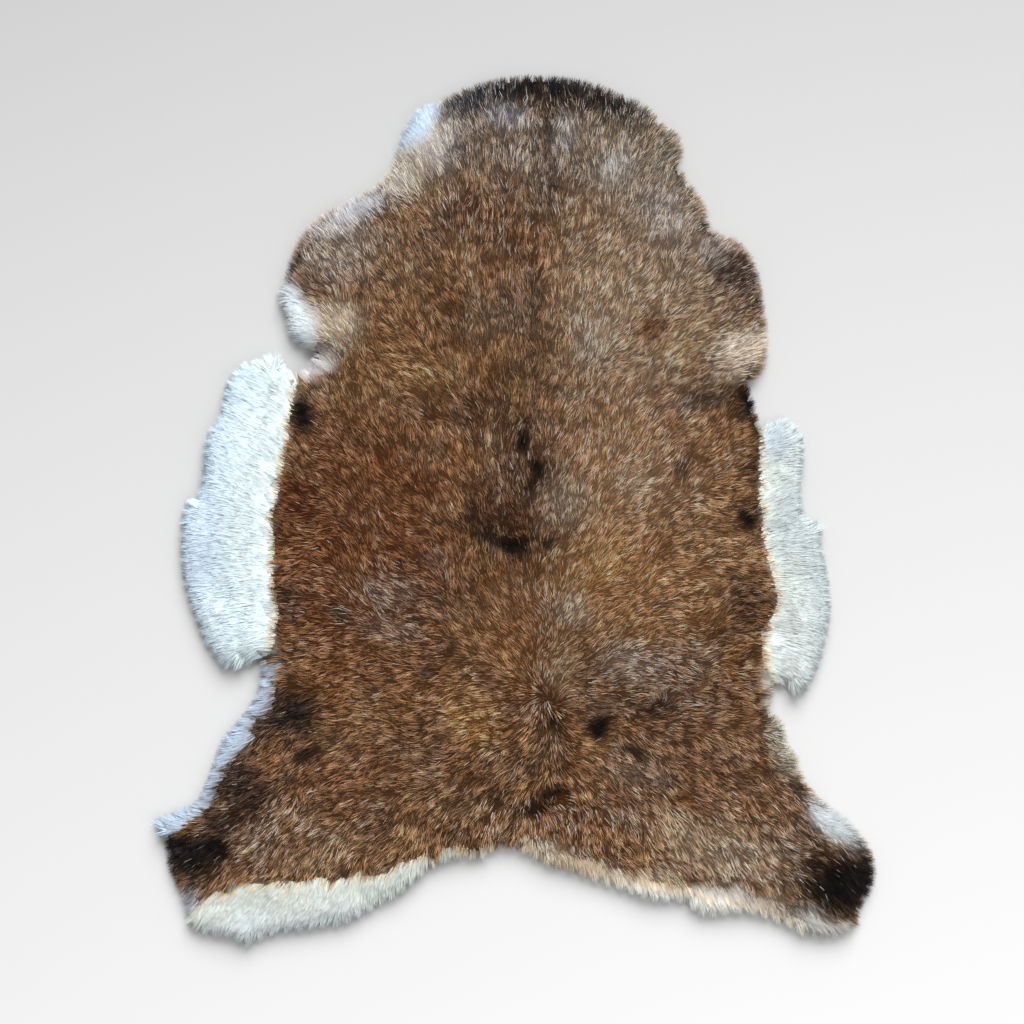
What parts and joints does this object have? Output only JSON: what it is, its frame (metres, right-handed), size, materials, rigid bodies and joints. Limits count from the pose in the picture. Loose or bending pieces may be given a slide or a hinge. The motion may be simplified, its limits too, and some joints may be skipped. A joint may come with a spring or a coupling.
{
  "type": "sheepskin",
  "caption": "Shorn sheepskin lying flat with its wool up, in one pelt: neck, shoulders, rounded belly lobes and hind legs, brown with white lobes.",
  "frame": {"origin": "centre of the bounding box's bottom face, where the pelt's underside lies", "axes": "+Z out of the wool, +Y to the neck, +X to the right hand side seen from above with the neck up"},
  "size_m": [0.8392, 1.0064, 0.0322],
  "materials": {
    "wool": "matt shorn wool, tan brown with white belly lobes"
  },
  "bodies": {
    "root": {"sheepskin": "wool"}
  },
  "joints": []
}
